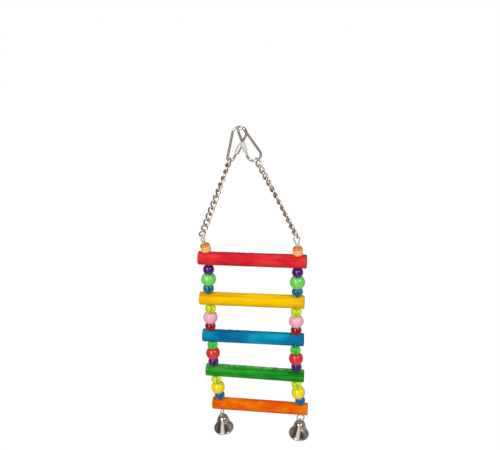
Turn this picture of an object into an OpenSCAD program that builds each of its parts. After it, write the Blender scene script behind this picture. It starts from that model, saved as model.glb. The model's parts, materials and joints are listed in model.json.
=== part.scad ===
// Bird ladder: five stained dowel rungs and glossy beads threaded on two stiff wires,
// hung by two twisted chains from a pair of pear-shaped screw links, with a bell at each foot.
// Millimetres. Z is up, X runs along the rungs, and the front is -Y.
// The origin is the hang point, where both screw links bear on whatever holds them.

/* [Rungs] */
// Length of a dowel rung
rung_len = 100; // [92:0.5:130]
// Diameter of a dowel rung
rung_d = 12.7; // [10:0.1:16]
// Rounding of the sawn ends
rung_edge = 0.8; // [0.3:0.1:2]
// From each end of a rung to the middle of its hole
hole_inset = 8.2; // [7:0.1:15]
// Drilled hole for a wire
rung_hole_d = 3; // [2.8:0.1:4]

/* [Rung lean] */
// Tilt of the red rung in degrees, right end up
red_lean = -1.2; // [-2:0.1:2]
// Tilt of the yellow rung
yellow_lean = -0.8; // [-2:0.1:2]
// Tilt of the blue rung
blue_lean = -0.8; // [-2:0.1:2]
// Tilt of the green rung
green_lean = -1.8; // [-2:0.1:2]
// Tilt of the orange rung
orange_lean = -1.2; // [-2:0.1:2]

/* [Rung shift] */
// How far the red rung's holes sit to the right of the hang point
red_shift = 1.9; // [-2.5:0.1:2.5]
// How far the yellow rung's holes sit to the right
yellow_shift = -0.5; // [-3:0.1:2.5]
// How far the blue rung's holes sit to the right
blue_shift = -2.8; // [-4:0.1:2.5]
// How far the green rung's holes sit to the right
green_shift = -3.6; // [-4:0.1:2.5]
// How far the orange rung's holes sit to the right
orange_shift = -0.2; // [-3:0.1:2.5]

/* [Rung overhang] */
// How much further the red rung reaches to the right of its holes than to the left
red_over = -0.4; // [-1.5:0.1:1.5]
// The same for the yellow rung
yellow_over = -1.1; // [-1.5:0.1:1.5]
// The same for the blue rung
blue_over = -0.2; // [-1.5:0.1:1.5]
// The same for the green rung
green_over = -0.2; // [-1.5:0.1:1.5]
// The same for the orange rung
orange_over = -0.8; // [-1.5:0.1:1.5]

/* [Beads] */
// Width of a large bead
big_d = 13.9; // [12.6:0.1:15]
// Width of a small bead
small_d = 10.4; // [9.2:0.1:11.5]
// Flats at both ends of a large bead's hole
big_flat_d = 6.8; // [5.6:0.1:7.6]
// Flats at both ends of a small bead's hole
small_flat_d = 5.3; // [4.2:0.1:6]
// Bore of the glossy beads
bead_bore_d = 2.2; // [2:0.1:2.8]
// Play between two threaded pieces
bead_play = 0.1; // [0.05:0.01:0.3]
// Width of a striped spool bead
spool_d = 9; // [8:0.1:12]
// Height of a striped spool bead
spool_h = 7.6; // [5:0.1:9]
// Rounding of its edges
spool_edge = 1.1; // [0.4:0.1:1.6]
// Bore of the striped beads, which takes two strands
spool_bore_d = 3.6; // [3.5:0.1:4.4]

/* [Wires] */
// Wire thickness
wire_d = 1.5; // [1.2:0.05:1.6]
// Width of the top eye, outside
eye_w = 6.8; // [6.2:0.1:8]
// From the middle of the top eye down to where its strands meet
eye_drop = 5.9; // [4.8:0.1:9]
// How far each top eye hangs outside its column of beads
eye_out = 1.2; // [0:0.1:2.5]
// How far a wire lies off the middle of a hole where it leaves it, out above and in below
wire_off = 0.55; // [0:0.05:0.6]
// Turn of the left wire about the vertical
left_turn = 74; // [50:1:90]
// Turn of the right wire about the vertical
right_turn = 4; // [-10:1:20]
// Width of the ring below the orange rung, outside
ring_w = 8.8; // [7.5:0.1:10]

/* [Chains] */
// Wire thickness of a chain link
chain_wire_d = 1.5; // [1.2:0.05:1.6]
// Length of a chain link, outside
chain_link_len = 9.3; // [8.8:0.05:11]
// Width of a chain link, outside
chain_link_w = 6.3; // [6:0.05:7.5]
// Twist from one end of a link to the other
chain_link_twist = 90; // [84:1:94]
// Slack at every place where two links hang together
chain_slack = 0.15; // [0.1:0.01:0.3]
// Slack where a wire's eye hangs in the last link
eye_slack = 0.3; // [0.25:0.01:0.4]
// Roll of the left chain's first link
left_roll = 70; // [62:1:78]
// Roll from each link of the left chain to the next
left_roll_step = 11; // [10.5:0.1:11.4]
// Roll of the right chain's first link
right_roll = 60; // [50:1:70]
// Roll from each link of the right chain to the next
right_roll_step = 6.5; // [6:0.1:6.8]

/* [Screw links] */
// Length of a screw link, outside
screw_link_len = 33; // [30:0.1:38]
// Rod thickness
screw_rod_d = 2.1; // [1.8:0.05:2.4]
// Width at the wide end, outside
screw_wide_w = 13.7; // [12:0.1:16]
// Width at the narrow end, outside
screw_narrow_w = 7.4; // [6.6:0.1:8.4]
// Lean of each screw link from the vertical
screw_lean = 23; // [16:0.5:24]
// Turn of the left screw link about its own length
screw_turn = 20; // [0:1:24]
// Space between the rods where both hang
screw_apart = 1.4; // [1.2:0.1:2.5]
// From the wide end to the middle of the left gate
left_gate_at = 18.2; // [16:0.1:18.6]
// From the wide end to the middle of the right gate
right_gate_at = 15; // [14.5:0.1:18]
// Opening of the gate under its sleeve
gate_gap = 4; // [3:0.1:4.6]
// How far the opening lies towards the wide end of the sleeve's middle
gate_off = 1.1; // [0.5:0.1:1.6]
// Length of the gate sleeve
sleeve_len = 8.8; // [8:0.1:10]
// Width of the gate sleeve across its flats
sleeve_af = 3.5; // [3.2:0.1:4]
// Clearance of the sleeve on the rod
sleeve_fit = 0.08; // [0.05:0.01:0.2]

/* [Bells] */
// Width of a bell at its lip
bell_d = 21.4; // [18:0.1:24]
// Height of a bell without its hanger
bell_h = 18.1; // [16:0.1:21]
// Width of the domed crown
crown_d = 11.5; // [9.6:0.1:12.5]
// Height of the domed crown
crown_h = 4.7; // [4:0.1:5.5]
// Thickness of the bell's wall
bell_wall = 0.7; // [0.5:0.05:1]
// Thickness of the rolled lip
lip_d = 1.5; // [1.2:0.1:2]
// Wire thickness of the hanger
hanger_wire_d = 1.1; // [0.9:0.05:1.2]
// Distance between the hanger's legs
hanger_legs = 3.2; // [3:0.1:3.6]
// From the wire ring down to the bell's crown
crown_drop = 1.7; // [1.5:0.1:2.5]
// Clearance of the hanger in the crown
hanger_fit = 0.05; // [0.03:0.01:0.1]
// How far the hanger reaches into the bell
hanger_in = 3.4; // [2.8:0.1:4]
// Lean of the right bell along its ring
right_bell_lean = 6; // [0:1:10]
// Lean of the left bell along its ring
left_bell_lean = 0; // [0:1:10]
// Diameter of the clapper's ball
clapper_ball_d = 4.8; // [3.6:0.1:5.5]
// From the clapper's eye to the middle of its ball
clapper_len = 10.8; // [9:0.1:11.2]
// Wire thickness of the clapper
clapper_wire_d = 0.9; // [0.7:0.05:1]

/* [Hidden] */
$fn = 48;
left = -1;
right = 1;
half = rung_len / 2 - hole_inset;
rungs = 5;
levels = 13;
leans = [red_lean, yellow_lean, blue_lean, green_lean, orange_lean];
shifts = [red_shift, yellow_shift, blue_shift, green_shift, orange_shift];
overs = [red_over, yellow_over, blue_over, green_over, orange_over];

// Bead colours from top to bottom, the same on both wires.
bead_inks = [
    "purple", "lightgreen", "darkcyan", "yellowgreen", "hotpink", "firebrick",
    "seagreen", "red", "blueviolet", "greenyellow", "gold", "royalblue"
];

// Screw links: the rod's centre line is two arcs and the lines that touch both.
wide_r = (screw_wide_w - screw_rod_d) / 2;
narrow_r = (screw_narrow_w - screw_rod_d) / 2;
arcs_apart = screw_link_len - screw_rod_d - wide_r - narrow_r;
side_lean = asin((wide_r - narrow_r) / arcs_apart);
side_len = arcs_apart * cos(side_lean);
screw_reach = screw_link_len - 1.5 * screw_rod_d;
screw_tip = asin((screw_apart + screw_rod_d) / 2 / screw_reach);
sleeve_bore_d = screw_rod_d + 2 * sleeve_fit;

// The straight sides are a hair thinner than the arcs and reach a little into them.
side_lap = 0.1;
side_d = screw_rod_d - 0.04;

// Chain: distances run down the chain from the rod of the screw link.
link_a = (chain_link_len - chain_wire_d) / 2;
link_b = (chain_link_w - chain_wire_d) / 2;
link_pitch = 2 * link_a - chain_wire_d - chain_slack;
first_link = link_a - (screw_rod_d + chain_wire_d) / 2 - chain_slack;
eye_run = first_link + (levels - 1) * link_pitch + link_a - (chain_wire_d + wire_d) / 2 - eye_slack;
eye_x = half + eye_out;
chain_x = screw_reach * sin(screw_lean);
chain_z = -screw_reach * cos(screw_lean);
chain_lean = asin((eye_x - chain_x) / eye_run);
eye_z = chain_z - eye_run * cos(chain_lean);

// Wires and the ladder's heights.
eye_r = (eye_w - wire_d) / 2;
ring_r = (ring_w - wire_d) / 2;
strand_off = (wire_d + chain_slack) / 2;
spool_flat_r = spool_d / 2 - spool_edge;
bead_flat_r = small_flat_d / 2;
big_h = sqrt(big_d * big_d - big_flat_d * big_flat_d);
small_h = sqrt(small_d * small_d - small_flat_d * small_flat_d);
stack_h = big_h + 2 * small_h + 4 * bead_play;
top_slope = atan((eye_out + abs(red_shift)) / (eye_drop + spool_h)) + abs(red_lean);
red_z = eye_z - eye_r - eye_drop - spool_h - 2 * bead_play - half * abs(sin(red_lean))
    - (rung_d / 2 + spool_flat_r * sin(top_slope)) / cos(top_slope);

// A wire bends where it comes to a rung, just inside the hole.
bend_in = 0.4;
bend_up = rung_d / 2 - bend_in;

// Ring below the orange rung: it starts at a stem point just under the rung.
ring_stem = rung_d / 2 + wire_d;
ring_far = ring_r + wire_d / 2;
tail_gap = wire_d + 0.3;

// Bell: heights are below the ring's wire.
hanger_r = hanger_legs / 2;
hanger_top = (wire_d + hanger_wire_d) / 2 + chain_slack - hanger_r;
clapper_eye_r = (hanger_wire_d + clapper_wire_d) / 2 + chain_slack;
clapper_pivot = crown_drop + bell_wall + hanger_in;

// One straight run of wire between two rungs, worst case for the room it needs.
function slope(i) = atan((abs(shifts[i] - shifts[i - 1]) + 2 * wire_off) / (rung_d + stack_h));
function tilt(i) = slope(i) + max(abs(leans[i]), abs(leans[i - 1]));
function drop(i) = (rung_d + 2 * bead_flat_r * sin(tilt(i))) / cos(tilt(i)) + stack_h
    + half * abs(sin(leans[i]) - sin(leans[i - 1]));
function rung_z(i) = i == 0 ? red_z : rung_z(i - 1) - drop(i);
function along(i) = [cos(leans[i]), 0, sin(leans[i])];
function normal(i) = [-sin(leans[i]), 0, cos(leans[i])];
function hole(i, side) = [shifts[i], 0, rung_z(i)] + side * half * along(i);
function unit(v) = v / norm(v);
function off_in(i, side, end) = i == end ? [0, 0, 0] : side * wire_off * along(i);
function above(i, side) = hole(i, side) + bend_up * normal(i) + off_in(i, side, 0);
function under(i, side) = hole(i, side) - bend_up * normal(i) - off_in(i, side, rungs - 1);
function run_dir(i, side) = unit(under(i - 1, side) - above(i, side));
function seat(dir, i, flat_r) = (bend_in + flat_r * norm(cross(dir, normal(i)))) / (dir * normal(i));
function eye_top(side) = [side * eye_x, 0, eye_z];
function top_dir(side) = unit(eye_top(side) - above(0, side));
function spool_seat(side) = seat(top_dir(side), 0, spool_flat_r) + bead_play;
function turn_of(side) = side == left ? left_turn : right_turn;
function across(side, dir) = let (u = [cos(turn_of(side)), sin(turn_of(side)), 0]) unit(u - (u * dir) * dir);

// Height of a bead's middle above its seat on the rung below: place 0, 1, 2 from the top.
function bead_up(place) = bead_play + small_h / 2
    + (place == 2 ? 0 : bead_play + (small_h + big_h) / 2)
    + (place == 0 ? bead_play + (small_h + big_h) / 2 : 0);

// A tube swept along a path of points. The section is carried along without spinning.
function turned(v, a, b) = let (c = cross(a, b)) v + cross(c, v) + cross(c, cross(c, v)) / (1 + a * b);
function tangents(path) = [
    for (i = [0 : len(path) - 1])
        unit(path[min(i + 1, len(path) - 1)] - path[max(i - 1, 0)])
];
function carried(t, n0) = [
    for (i = 0, n = n0; i < len(t); n = i + 1 < len(t) ? turned(n, t[i], t[i + 1]) : n, i = i + 1) n
];

module tube(path, sides, n0) {
    t = tangents(path);
    n = carried(t, unit(n0 - (n0 * t[0]) * t[0]));
    last = len(path) - 1;
    points = [
        for (i = [0 : last])
            let (m = cross(t[i], n[i]))
            for (k = [0 : sides - 1])
                path[i] + wire_d / 2 * (cos(360 * k / sides) * n[i] + sin(360 * k / sides) * m)
    ];
    walls = [
        for (i = [0 : last - 1], k = [0 : sides - 1])
            let (a = i * sides, b = a + sides, q = (k + 1) % sides)
            each [[a + k, a + q, b + q], [a + k, b + q, b + k]]
    ];
    ends = [
        [for (k = [sides - 1 : -1 : 0]) k],
        [for (k = [0 : sides - 1]) last * sides + k]
    ];
    solid(points, concat(walls, ends));
}

// Solid of the given points, each face turned to wind clockwise from outside.
module solid(points, faces) {
    polyhedron(points, [for (f = faces) [for (k = [len(f) - 1 : -1 : 0]) f[k]]], convexity = 10);
}

// Twisted chain link about its middle, its length along Z.
function link_point(t) =
    let (s = link_a * cos(t), w = link_b * sign(sin(t)) * pow(abs(sin(t)), 0.8),
        turn = chain_link_twist / 2 * cos(t))
    [w * cos(turn), w * sin(turn), s];

module chain_link() {
    steps = 20;
    sides = 7;
    path = [for (i = [0 : steps - 1]) link_point(360 * (i + 0.5) / steps)];
    points = [
        for (i = [0 : steps - 1])
            let (t = unit(path[(i + 1) % steps] - path[(i + steps - 1) % steps]),
                r = unit(path[i]),
                n = unit(r - (r * t) * t),
                m = cross(t, n))
            for (k = [0 : sides - 1])
                path[i] + chain_wire_d / 2 * (cos(360 * k / sides) * n + sin(360 * k / sides) * m)
    ];
    faces = [
        for (i = [0 : steps - 1], k = [0 : sides - 1])
            let (a = i * sides, b = (i + 1) % steps * sides, q = (k + 1) % sides)
            each [[a + k, a + q, b + q], [a + k, b + q, b + k]]
    ];
    solid(points, faces);
}

module chain_level(k) {
    down = first_link + (k - 1) * link_pitch;
    for (side = [left, right])
        translate([side * (chain_x + down * sin(chain_lean)), 0, chain_z - down * cos(chain_lean)])
            rotate([0, -side * chain_lean, 0])
                rotate(side == left ? left_roll + (k - 1) * left_roll_step
                    : right_roll + (k - 1) * right_roll_step)
                    chain_link();
}

// Screw link in its own plane: hang point at the origin, its length down -Z, gate towards +X.
module screw_frame(side) {
    translate([side * chain_x, 0, chain_z])
        rotate([side * screw_tip, -side * screw_lean, 0])
            translate([0, 0, screw_reach])
                rotate(side == left ? screw_turn : 180)
                    children();
}

// Middle of the wide arc: the left link hangs wide end up, the right one narrow end up.
function wide_z(side) = side == left ? screw_rod_d / 2 - wide_r : wide_r - screw_link_len + 1.5 * screw_rod_d;
function wide_up(side) = side == left ? 1 : -1;
function gate_at(side) = side == left ? left_gate_at : right_gate_at;

// Moves to a height on the straight gate side, measured from the wide end.
module gate_side(side, at) {
    from_touch = (at - screw_rod_d / 2 - wide_r) / cos(side_lean) + wide_r * tan(side_lean);
    translate([0, 0, wide_z(side)])
        rotate([0, wide_up(side) * side_lean, 0])
            translate([wide_r, 0, -wide_up(side) * from_touch])
                children();
}

module rod_arc(r, half_angle) {
    rotate([90, 0, 0])
        rotate(90 - half_angle)
            rotate_extrude(angle = 2 * half_angle)
                translate([r, 0])
                    circle(d = screw_rod_d, $fn = 32);
}

module screw_rod(side) {
    up = wide_up(side);
    narrow_z = wide_z(side) - up * arcs_apart;
    screw_frame(side)
        difference() {
            union() {
                translate([0, 0, wide_z(side)])
                    scale([1, 1, up])
                        rod_arc(wide_r, 90 + side_lean);
                translate([0, 0, narrow_z])
                    scale([1, 1, -up])
                        rod_arc(narrow_r, 90 - side_lean);
                for (s = [-1, 1])
                    translate([0, 0, wide_z(side)])
                        rotate([0, up * s * side_lean, 0])
                            translate([s * wide_r, 0, -up * side_len / 2])
                                cylinder(d = side_d, h = side_len + 2 * side_lap, center = true, $fn = 32);
            }
            gate_side(side, gate_at(side) - gate_off)
                cube([2 * screw_rod_d, 2 * screw_rod_d, gate_gap], center = true);
        }
}

module gate_sleeve(side) {
    corner = sleeve_af / cos(30);
    screw_frame(side)
        gate_side(side, gate_at(side))
            difference() {
                intersection() {
                    cylinder(d = corner, h = sleeve_len, center = true, $fn = 6);
                    rotate_extrude()
                        polygon([
                            [0, -sleeve_len / 2],
                            [sleeve_af / 2 - 0.1, -sleeve_len / 2],
                            [corner / 2 + 0.05, -sleeve_len / 2 + 0.45],
                            [corner / 2 + 0.05, sleeve_len / 2 - 0.45],
                            [sleeve_af / 2 - 0.1, sleeve_len / 2],
                            [0, sleeve_len / 2]
                        ]);
                }
                cylinder(d = sleeve_bore_d, h = sleeve_len + 1, center = true);
            }
}

// Wire of one side: tail in the spool bead, eye, straight runs through the rungs, ring.
module wire(side) {
    top = eye_top(side);
    dir = top_dir(side);
    u = across(side, dir);
    mouth = norm(top - above(0, side)) - spool_seat(side) - spool_h;
    far = norm([eye_drop, strand_off]);
    touch = atan2(strand_off, eye_drop) + acos(eye_r / far);
    eye_mid = top - eye_r * dir;
    eye = [
        for (i = [0 : 18])
            let (a = touch + (360 - 2 * touch) * i / 18)
            eye_mid - eye_r * cos(a) * dir + eye_r * sin(a) * u
    ];
    tail = [
        top - (mouth + 0.6 * spool_h) * dir + strand_off * u,
        top - (eye_r + eye_drop + 0.4) * dir + strand_off * u
    ];
    neck = [
        top - (eye_r + eye_drop + 0.4) * dir - strand_off * u,
        top - (mouth + 0.3 * spool_h) * dir - strand_off * u
    ];
    runs = [for (i = [0 : rungs - 1]) each [above(i, side), under(i, side)]];
    v = across(side, normal(rungs - 1));
    down = -normal(rungs - 1);
    stem = hole(rungs - 1, side) + ring_stem * down;
    ring_mid = stem + ring_far * down;
    ring_touch = acos(ring_r / ring_far);
    ring = [
        for (i = [0 : 18])
            let (a = ring_touch + (360 - 2 * ring_touch) * i / 18)
            ring_mid - ring_r * cos(a) * down - ring_r * sin(a) * v
    ];
    bend = [
        for (i = [0 : 3])
            let (p = stem - 0.7 * down, q = stem + 0.7 * unit(ring[0] - stem), w = i / 3)
            (1 - w) * (1 - w) * p + 2 * w * (1 - w) * stem + w * w * q
    ];
    tip = [stem + tail_gap * unit(ring[18] - stem)];
    tube(concat(tail, eye, neck, runs, bend, ring, tip), 10, cross(u, dir));
}

module rung(i) {
    translate([shifts[i], 0, rung_z(i)])
        rotate([0, -leans[i], 0])
            difference() {
                translate([overs[i], 0, 0])
                    rotate([0, 90, 0])
                        rotate_extrude()
                            rung_section();
                for (side = [left, right])
                    translate([side * half, 0, 0])
                        cylinder(d = rung_hole_d, h = 2 * rung_d, center = true);
            }
}

module rung_section() {
    intersection() {
        translate([0, -rung_len / 2])
            square([rung_d / 2, rung_len]);
        offset(r = rung_edge)
            offset(delta = -rung_edge)
                translate([-rung_d / 2, -rung_len / 2])
                    square([rung_d, rung_len]);
    }
}

// Frame whose Z runs along dir and whose origin is at the given point.
module aimed(at, dir) {
    translate(at)
        rotate([0, atan2(dir.x, dir.z), 0])
            children();
}

// Half section of a round bead: flat at both ends, with a straight bore.
module bead_section(d, h) {
    difference() {
        intersection() {
            circle(d = d, $fn = 96);
            translate([0, -h / 2])
                square([d / 2, h]);
        }
        translate([-1, -h])
            square([1 + bead_bore_d / 2, 2 * h]);
    }
}

module bead(side, n) {
    below = floor((n - 1) / 3) + 1;
    place = (n - 1) % 3;
    dir = run_dir(below, side);
    up = seat(dir, below, bead_flat_r) + bead_up(place);
    color(bead_inks[n - 1])
        aimed(above(below, side) + up * dir, dir)
            rotate_extrude()
                bead_section(place == 1 ? big_d : small_d, place == 1 ? big_h : small_h);
}

module spool_bead(side) {
    dir = top_dir(side);
    up = spool_seat(side) + spool_h / 2;
    color("darkorange")
        aimed(above(0, side) + up * dir, dir)
            rotate_extrude()
                difference() {
                    offset(r = spool_edge)
                        offset(delta = -spool_edge)
                            translate([-spool_d / 2, -spool_h / 2])
                                square([spool_d, spool_h]);
                    translate([-spool_d, -spool_h])
                        square([spool_d + spool_bore_d / 2, 2 * spool_h]);
                }
}

// Frame of a bell: the ring's wire at the origin, the ring's plane along X.
function bell_lean(side) = side == left ? left_bell_lean : right_bell_lean;
module bell_frame(side) {
    translate(hole(rungs - 1, side) - (ring_stem + ring_far) * normal(rungs - 1))
        rotate(turn_of(side))
            rotate([0, bell_lean(side), 0])
                translate([0, 0, -ring_r])
                    children();
}

// Half section of the shell: domed crown, shoulder, flare and rolled lip.
flare_curve = 1.1;
shoulder_r = crown_d / 2 + 0.4;
shoulder_y = -crown_drop - crown_h - 0.5;
lip_r = lip_d / 2;
lip_x = bell_d / 2 - lip_r;
lip_y = -crown_drop - bell_h + lip_r;

function crown_point(a, inset) = [
    (crown_d / 2 - inset) * pow(sin(a), 0.8),
    -crown_drop - inset - crown_h * (1 - pow(cos(a), 0.9))
];
function flare_point(w, inset) = [
    shoulder_r - inset + (lip_x + lip_r / 2 - shoulder_r) * pow(w, flare_curve),
    shoulder_y - inset * (1 - w) + (lip_y + lip_r - shoulder_y) * w
];

module bell_section() {
    polygon(concat(
        [for (i = [0 : 10]) crown_point(9 * i, 0)],
        [for (i = [0 : 10]) flare_point(i / 10, 0)],
        [for (a = [45 : -15 : -195]) [lip_x + lip_r * cos(a), lip_y + lip_r * sin(a)]],
        [for (i = [10 : -1 : 0]) flare_point(i / 10, bell_wall)],
        [for (i = [10 : -1 : 0]) crown_point(9 * i, bell_wall)]
    ));
}

module bell(side) {
    color("silver")
        bell_frame(side)
            difference() {
                rotate_extrude()
                    bell_section();
                for (s = [-1, 1])
                    translate([0, s * hanger_r, -crown_drop - 2 * bell_wall])
                        cylinder(d = hanger_wire_d + 2 * hanger_fit, h = 4 * bell_wall, center = true);
            }
}

module half_loop(r, d) {
    rotate([90, 0, 90])
        rotate_extrude(angle = 180)
            translate([r, 0])
                circle(d = d, $fn = 24);
}

module bell_hanger(side) {
    low = -clapper_pivot + hanger_r;
    color("gray")
        bell_frame(side) {
            translate([0, 0, hanger_top])
                half_loop(hanger_r, hanger_wire_d);
            translate([0, 0, low])
                mirror([0, 0, 1])
                    half_loop(hanger_r, hanger_wire_d);
            for (s = [-1, 1])
                translate([0, s * hanger_r, low])
                    cylinder(d = hanger_wire_d, h = hanger_top - low, $fn = 24);
        }
}

module clapper(side) {
    color("dimgray")
        bell_frame(side)
            translate([0, 0, -clapper_pivot])
                rotate([0, -bell_lean(side), 0]) {
                    rotate([90, 0, 0])
                        rotate_extrude()
                            translate([clapper_eye_r, 0])
                                circle(d = clapper_wire_d, $fn = 24);
                    translate([0, 0, -clapper_len])
                        cylinder(d = clapper_wire_d, h = clapper_len - clapper_eye_r, $fn = 24);
                    translate([0, 0, -clapper_len])
                        sphere(d = clapper_ball_d);
                }
}

module red_rung() color("crimson") rung(0);
module yellow_rung() color("gold") rung(1);
module blue_rung() color("deepskyblue") rung(2);
module green_rung() color("limegreen") rung(3);
module orange_rung() color("orangered") rung(4);
module left_wire() color("lightgray") wire(left);
module right_wire() color("lightgray") wire(right);
module left_screw_link() color("silver") screw_rod(left);
module right_screw_link() color("silver") screw_rod(right);
module left_sleeve() color("gainsboro") gate_sleeve(left);
module right_sleeve() color("gainsboro") gate_sleeve(right);
module chain(k) color("darkgray") chain_level(k);

left_screw_link();
right_screw_link();
left_sleeve();
right_sleeve();
chain(1);  // chain_1
chain(2);  // chain_2
chain(3);  // chain_3
chain(4);  // chain_4
chain(5);  // chain_5
chain(6);  // chain_6
chain(7);  // chain_7
chain(8);  // chain_8
chain(9);  // chain_9
chain(10);  // chain_10
chain(11);  // chain_11
chain(12);  // chain_12
chain(13);  // chain_13
left_wire();
right_wire();
red_rung();
yellow_rung();
blue_rung();
green_rung();
orange_rung();
spool_bead(left);  // left_spool_bead
spool_bead(right);  // right_spool_bead
bead(left, 1);  // left_bead_1
bead(left, 2);  // left_bead_2
bead(left, 3);  // left_bead_3
bead(left, 4);  // left_bead_4
bead(left, 5);  // left_bead_5
bead(left, 6);  // left_bead_6
bead(left, 7);  // left_bead_7
bead(left, 8);  // left_bead_8
bead(left, 9);  // left_bead_9
bead(left, 10);  // left_bead_10
bead(left, 11);  // left_bead_11
bead(left, 12);  // left_bead_12
bead(right, 1);  // right_bead_1
bead(right, 2);  // right_bead_2
bead(right, 3);  // right_bead_3
bead(right, 4);  // right_bead_4
bead(right, 5);  // right_bead_5
bead(right, 6);  // right_bead_6
bead(right, 7);  // right_bead_7
bead(right, 8);  // right_bead_8
bead(right, 9);  // right_bead_9
bead(right, 10);  // right_bead_10
bead(right, 11);  // right_bead_11
bead(right, 12);  // right_bead_12
bell(left);  // left_bell
bell(right);  // right_bell
bell_hanger(left);  // left_hanger
bell_hanger(right);  // right_hanger
clapper(left);  // left_clapper
clapper(right);  // right_clapper
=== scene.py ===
"""Looks of a hanging bird ladder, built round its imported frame.

Five stained dowel rungs and glossy beads sit on two stiff wires. Each wire hangs by a twisted
chain from a pear-shaped screw link and carries a small bell at its foot. Metres throughout.
"""

import json
import math

import bmesh
import bpy
from bpy.props import FloatProperty, FloatVectorProperty, PointerProperty
from mathutils import Matrix, Vector, noise


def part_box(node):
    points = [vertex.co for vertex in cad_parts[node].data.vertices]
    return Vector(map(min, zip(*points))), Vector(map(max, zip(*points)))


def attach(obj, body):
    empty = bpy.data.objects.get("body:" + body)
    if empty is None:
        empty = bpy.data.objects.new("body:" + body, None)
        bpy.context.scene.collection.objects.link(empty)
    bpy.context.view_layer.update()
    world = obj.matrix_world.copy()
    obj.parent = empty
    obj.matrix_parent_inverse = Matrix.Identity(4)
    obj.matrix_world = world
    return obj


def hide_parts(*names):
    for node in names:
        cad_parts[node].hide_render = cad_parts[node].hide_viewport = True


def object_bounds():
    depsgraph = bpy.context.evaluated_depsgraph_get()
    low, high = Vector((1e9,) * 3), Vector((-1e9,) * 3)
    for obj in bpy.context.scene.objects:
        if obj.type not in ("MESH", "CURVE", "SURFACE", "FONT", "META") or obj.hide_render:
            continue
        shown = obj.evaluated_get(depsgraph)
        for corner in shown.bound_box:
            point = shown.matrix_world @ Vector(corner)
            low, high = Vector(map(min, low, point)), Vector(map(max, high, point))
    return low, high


bl_info = {
    "name": "Bird Ladder",
    "version": (1, 0, 0),
    "blender": (4, 5, 0),
    "location": "View3D > Sidebar > Bird Ladder",
    "description": "Builds the rungs, beads, wires, chains, screw links and bells of a bird ladder",
    "category": "Add Mesh",
}

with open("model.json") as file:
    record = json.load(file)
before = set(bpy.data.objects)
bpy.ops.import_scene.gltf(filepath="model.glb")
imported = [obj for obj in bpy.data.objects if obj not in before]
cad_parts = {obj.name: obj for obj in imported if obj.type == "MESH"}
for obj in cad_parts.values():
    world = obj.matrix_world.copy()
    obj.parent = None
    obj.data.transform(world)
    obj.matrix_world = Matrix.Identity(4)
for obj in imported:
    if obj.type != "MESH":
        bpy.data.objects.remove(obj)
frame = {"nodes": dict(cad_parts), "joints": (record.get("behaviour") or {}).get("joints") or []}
CAD_BOX = [list(corner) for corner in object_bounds()]
JOINTS = {joint["name"]: joint for joint in frame["joints"]}

MM = 0.001
LEFT, RIGHT = -1, 1
SIDES = ((LEFT, "left"), (RIGHT, "right"))
RUNGS = ("red", "yellow", "blue", "green", "orange")
BEADS_BETWEEN_RUNGS = 3
CHAIN_LEVELS = 13


def srgb(red, green, blue):
    """Linear colour of a screen colour given from 0 to 255."""
    return tuple(
        v / 12.92 if v <= 0.04045 else ((v + 0.055) / 1.055) ** 2.4
        for v in (red / 255, green / 255, blue / 255)
    )


def length(name, description, millimetres):
    return FloatProperty(
        name=name,
        description=description,
        default=millimetres * MM,
        min=0,
        precision=5,
        subtype="DISTANCE",
        unit="LENGTH",
    )


def angle(name, description, degrees):
    return FloatProperty(
        name=name, description=description, default=math.radians(degrees), subtype="ANGLE", unit="ROTATION"
    )


def amount(name, description, value):
    return FloatProperty(name=name, description=description, default=value, min=0)


def colour(name, description, red, green, blue):
    return FloatVectorProperty(
        name=name,
        description=description,
        default=srgb(red, green, blue),
        min=0,
        max=1,
        size=3,
        subtype="COLOR",
    )


# Sizes and colours that a user would change.


class RungLooks(bpy.types.PropertyGroup):
    edge: length("Edge rounding", "Rounding of the sawn edges at both ends of a rung", 0.8)
    grain: length("Grain relief", "Depth of the raised grain on the turned side of a rung", 0.035)
    saw: length("Saw marks", "Depth of the marks that the saw leaves on an end face", 0.12)
    hole: length("Hole width", "Width of the drilled holes that take the wires", 3.0)
    chip: length("Chips", "Depth of the chips torn from the top edge of some rungs", 0.6)
    red: colour("Red stain", "Colour of the top rung", 216, 38, 46)
    yellow: colour("Yellow stain", "Colour of the second rung", 244, 190, 0)
    blue: colour("Blue stain", "Colour of the third rung", 2, 131, 174)
    green: colour("Green stain", "Colour of the fourth rung", 28, 148, 40)
    orange: colour("Orange stain", "Colour of the bottom rung", 241, 98, 0)


class BeadLooks(bpy.types.PropertyGroup):
    bore: length("Bore", "Width of the hole through a glossy bead", 2.2)
    lip: length("Lip rounding", "Rounding where the hole meets the flat end of a bead", 0.25)
    spool_bore: length("Striped bead bore", "Width of the hole through a striped bead", 3.6)
    spool_edge: length("Striped bead edge", "Rounding of the edges of a striped bead", 1.1)
    purple: colour("Purple", "First bead under the red rung, opaque", 74, 12, 118)
    light_green: colour("Light green", "Large bead under the red rung, opaque", 112, 214, 90)
    teal: colour("Teal", "Third bead under the red rung, clear", 0, 124, 158)
    lime: colour("Lime", "First bead under the yellow rung, clear", 214, 234, 20)
    pink: colour("Pink", "Large bead under the yellow rung, opaque", 245, 174, 193)
    dark_red: colour("Dark red", "Third bead under the yellow rung, clear", 168, 16, 18)
    green: colour("Green", "First bead under the blue rung, clear", 74, 222, 70)
    red: colour("Red", "Large bead under the blue rung, opaque", 223, 46, 48)
    violet: colour("Violet", "Third bead under the blue rung, clear", 84, 30, 128)
    lime_green: colour("Lime green", "First bead under the green rung, clear", 226, 240, 36)
    yellow: colour("Yellow", "Large bead under the green rung, opaque", 254, 220, 14)
    blue: colour("Blue", "Third bead under the green rung, clear", 0, 116, 172)
    cream: colour("Cream stripe", "Pale stripes of the striped beads", 255, 228, 180)
    tan: colour("Orange stripe", "Wide stripes and top face of the striped beads", 250, 138, 12)
    brown: colour("Brown line", "Thin lines round the striped beads", 176, 88, 26)


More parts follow.
